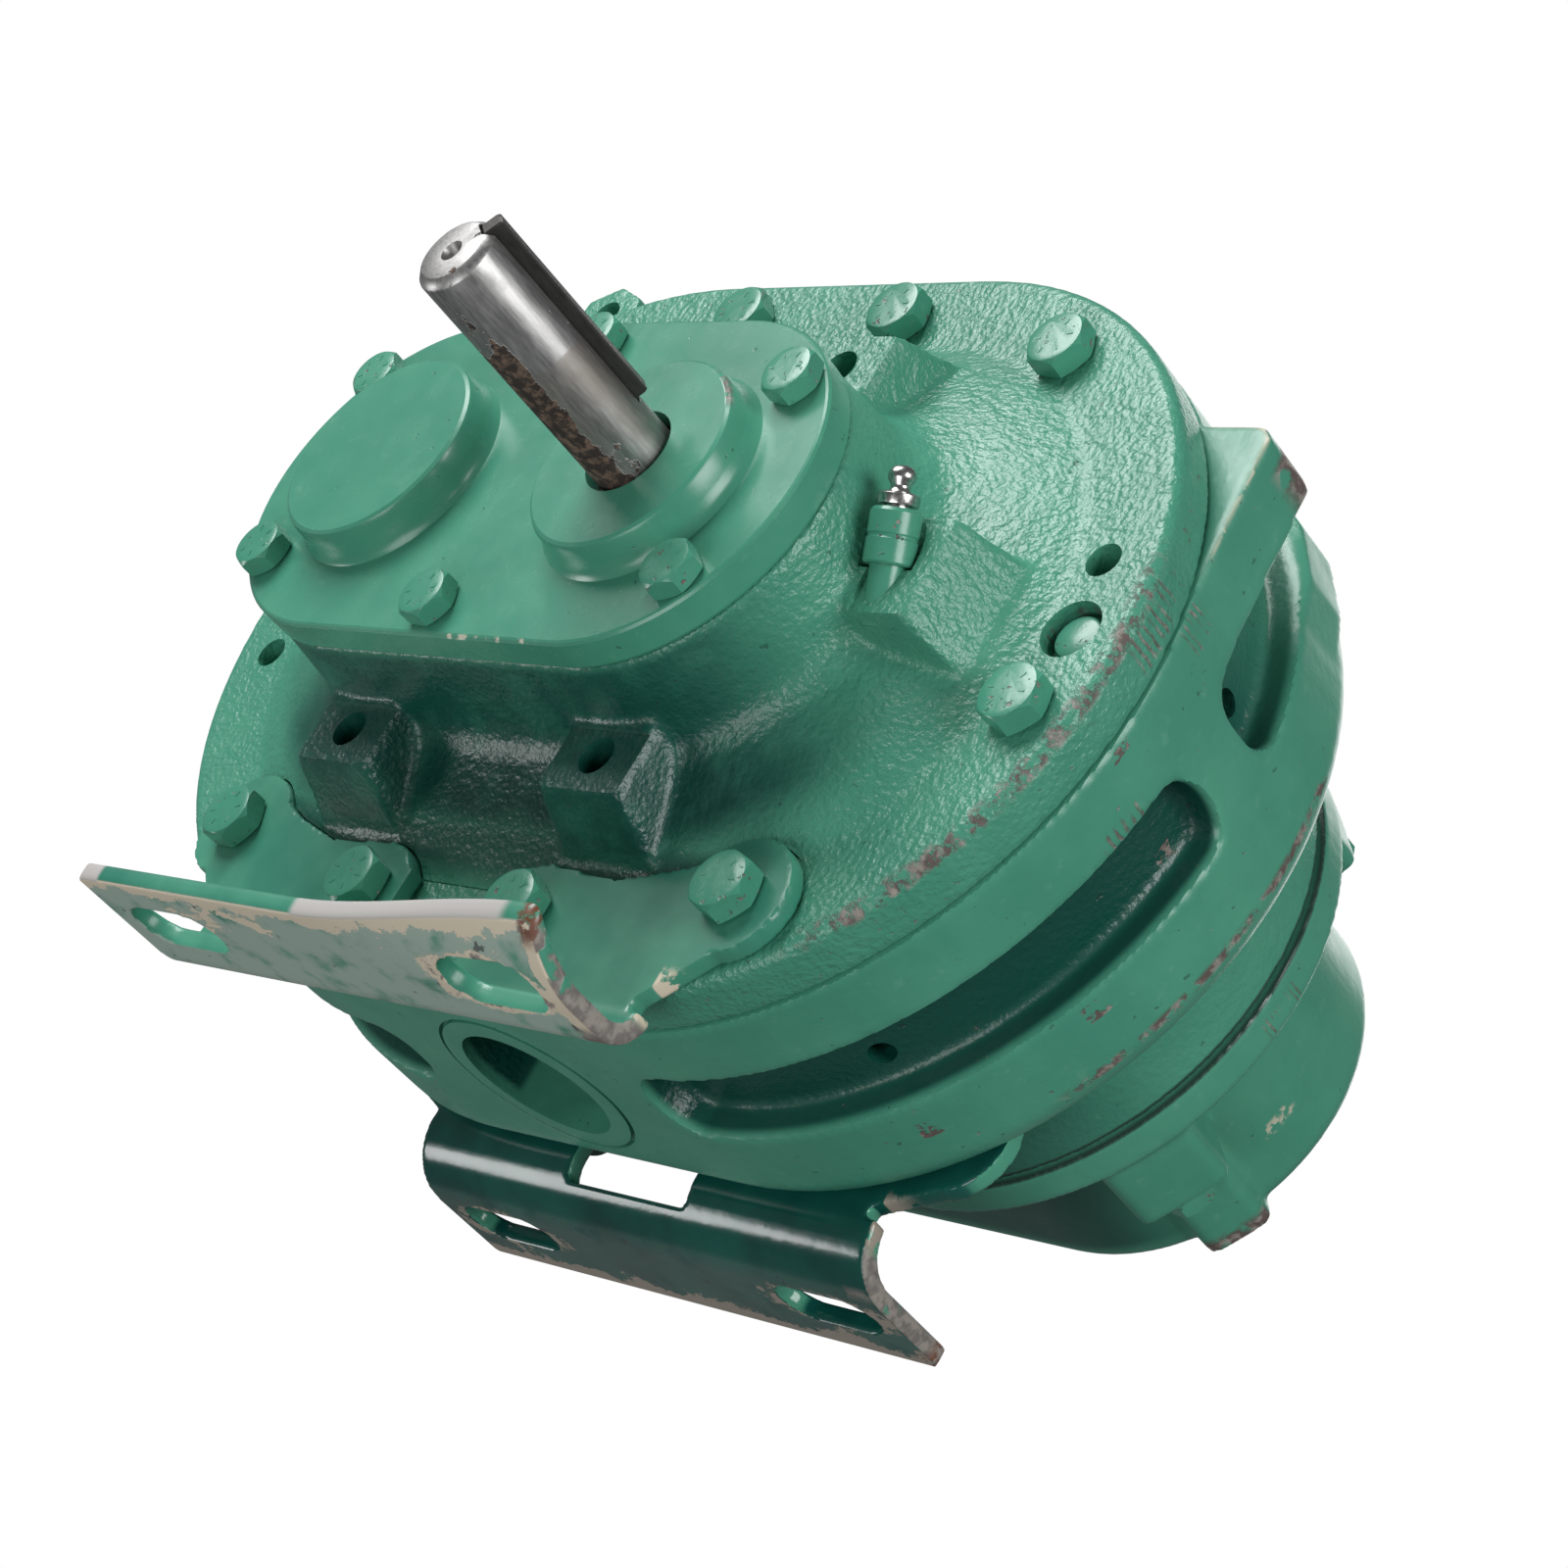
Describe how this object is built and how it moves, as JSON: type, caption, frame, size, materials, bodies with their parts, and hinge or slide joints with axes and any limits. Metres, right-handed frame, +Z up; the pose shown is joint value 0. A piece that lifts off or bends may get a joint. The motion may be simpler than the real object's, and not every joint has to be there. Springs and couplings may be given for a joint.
{
  "type": "industrial gearbox",
  "caption": "Twin-shaft oval gearbox with a keyed drive shaft, timing gears, lobed rotors, round ports and two bent bracket feet.",
  "frame": {"origin": "middle of the bounding box footprint, in the plane of the foot soles", "axes": "+X across the two shafts towards the keyed drive shaft, +Y along the shafts from the drive end to the gear end, +Z up"},
  "size_m": [0.3386, 0.3614, 0.2555],
  "materials": {
    "green_paint": "semi-gloss enamel over rough casting, chipped edges",
    "dark_paint": "glossy enamel, worn sole",
    "steel": "ground",
    "black_steel": "blackened",
    "cast_iron": "machined and darkened",
    "rubber": "matt"
  },
  "bodies": {
    "casing": {"drive_end_cover": "green_paint", "cover_bolt_1": "green_paint", "cover_bolt_2": "green_paint", "cover_bolt_3": "green_paint", "cover_bolt_4": "green_paint", "cover_bolt_5": "green_paint", "cover_bolt_6": "green_paint", "drive_shaft_seal": "rubber", "drive_head_plate": "green_paint", "head_bolt_1": "green_paint", "head_bolt_2": "green_paint", "head_bolt_3": "green_paint", "head_bolt_4": "green_paint", "head_bolt_5": "green_paint", "head_bolt_6": "green_paint", "dowel_pin_1": "green_paint", "dowel_pin_2": "green_paint", "grease_bushing": "green_paint", "grease_fitting": "steel", "housing": "green_paint", "gear_case": "green_paint", "case_bolt_1": "green_paint", "case_bolt_2": "green_paint", "case_bolt_3": "green_paint", "case_bolt_4": "green_paint", "fill_plug": "green_paint", "drain_plug": "green_paint", "drive_end_foot": "green_paint", "gear_end_foot": "dark_paint", "foot_bolt_1": "green_paint", "foot_bolt_2": "green_paint", "foot_bolt_3": "green_paint", "foot_bolt_4": "green_paint", "rear_foot_bolt_1": "dark_paint", "rear_foot_bolt_2": "dark_paint", "rear_foot_bolt_3": "dark_paint", "rear_foot_bolt_4": "dark_paint", "drive_front_bearing_outer": "steel", "drive_rear_bearing_outer": "steel", "drive_oil_seal": "rubber", "driven_front_bearing_outer": "steel", "driven_rear_bearing_outer": "steel", "driven_oil_seal": "rubber"},
    "drive_train": {"drive_shaft": "steel", "drive_key": "black_steel", "drive_rotor": "cast_iron", "drive_timing_gear": "steel", "drive_locknut": "black_steel", "drive_front_bearing_inner": "steel", "drive_rear_bearing_inner": "steel"},
    "driven_train": {"driven_shaft": "steel", "driven_rotor": "cast_iron", "driven_timing_gear": "steel", "driven_locknut": "black_steel", "driven_front_bearing_inner": "steel", "driven_rear_bearing_inner": "steel"}
  },
  "joints": [
    {"name": "drive_spin", "type": "hinge", "parent": "casing", "child": "drive_train", "pos_m": [0.0508, 0, 0.133], "axis": [0, 1, 0], "continuous": true},
    {"name": "driven_spin", "type": "hinge", "parent": "casing", "child": "driven_train", "pos_m": [-0.0508, 0, 0.133], "axis": [0, 1, 0], "continuous": true}
  ],
  "couplings": [
    {"joint": "driven_spin", "follows": "drive_spin", "ratio": -1}
  ]
}
